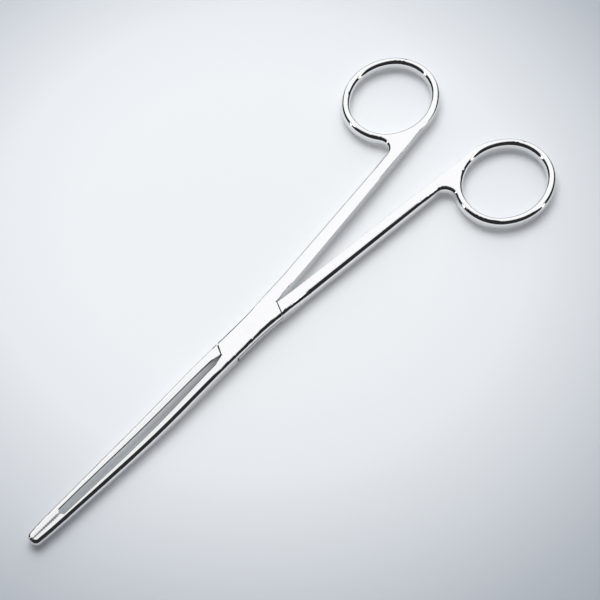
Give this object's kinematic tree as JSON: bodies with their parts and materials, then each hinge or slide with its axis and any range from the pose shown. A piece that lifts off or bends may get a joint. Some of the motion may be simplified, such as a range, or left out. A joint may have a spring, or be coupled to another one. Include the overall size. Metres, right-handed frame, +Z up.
{
  "type": "dressing forceps",
  "caption": "Straight ring-handled dressing forceps with a box lock and serrated blunt tips, for holding and handling swabs and dressings.",
  "frame": {"origin": "on the hinge axis, in the plane of the box lock's underside", "axes": "+X from the finger rings to the tips along the closed instrument's centre line, +Z up along the hinge axis, +Y towards the through half's handle"},
  "size_m": [0.1799, 0.0698, 0.0048],
  "materials": {
    "polished_steel": "mirror-polished stainless steel",
    "pin_steel": "stainless steel rivet, ground flush and polished with the lock"
  },
  "bodies": {
    "box": {"box_half": "polished_steel", "pivot_pin": "pin_steel"},
    "through": {"through_half": "polished_steel"}
  },
  "joints": [
    {"name": "box_lock_hinge", "type": "hinge", "parent": "box", "child": "through", "pos_m": [0, 0, 0.0024], "axis": [0, 0, -1], "range_deg": [0, 40]}
  ]
}
